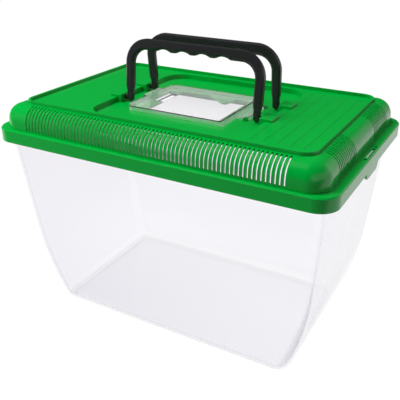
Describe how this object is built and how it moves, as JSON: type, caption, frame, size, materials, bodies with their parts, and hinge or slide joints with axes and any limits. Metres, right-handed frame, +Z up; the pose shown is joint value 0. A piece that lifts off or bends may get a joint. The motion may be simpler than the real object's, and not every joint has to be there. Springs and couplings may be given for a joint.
{
  "type": "plastic pet keeper",
  "caption": "Clear tapered keeper tank with a slotted vent lid, a hinged feeding hatch and two folding carrying handles.",
  "frame": {"origin": "under the middle of the tank, on the surface that it stands on", "axes": "+Z up, +X along the long side towards the hatch's hinge, -Y is the front with the long row of slots"},
  "size_m": [0.37, 0.2386, 0.3067],
  "materials": {
    "clear_plastic": "clear moulded, polished",
    "green_plastic": "moulded, satin",
    "clear_plastic_hatch": "clear moulded, polished",
    "black_plastic": "moulded, satin black"
  },
  "bodies": {
    "tank": {"tank": "clear_plastic"},
    "lid": {"lid": "green_plastic"},
    "hatch": {"hatch": "clear_plastic_hatch"},
    "front_handle": {"front_handle": "black_plastic"},
    "rear_handle": {"rear_handle": "black_plastic"}
  },
  "joints": [
    {"name": "lid_lift", "type": "slide", "parent": "tank", "child": "lid", "axis": [0, 0, 1], "range_m": [0, 0.12]},
    {"name": "hatch_hinge", "type": "hinge", "parent": "lid", "child": "hatch", "pos_m": [0.062, 0, 0.241], "axis": [0, 1, 0], "range_deg": [0, 22]},
    {"name": "front_handle_hinge", "type": "hinge", "parent": "lid", "child": "front_handle", "pos_m": [0, -0.0239, 0.244], "axis": [1, 0, 0], "range_deg": [-12, 95.5]},
    {"name": "rear_handle_hinge", "type": "hinge", "parent": "lid", "child": "rear_handle", "pos_m": [0, 0.0239, 0.244], "axis": [-1, 0, 0], "range_deg": [-12, 95.5]}
  ]
}
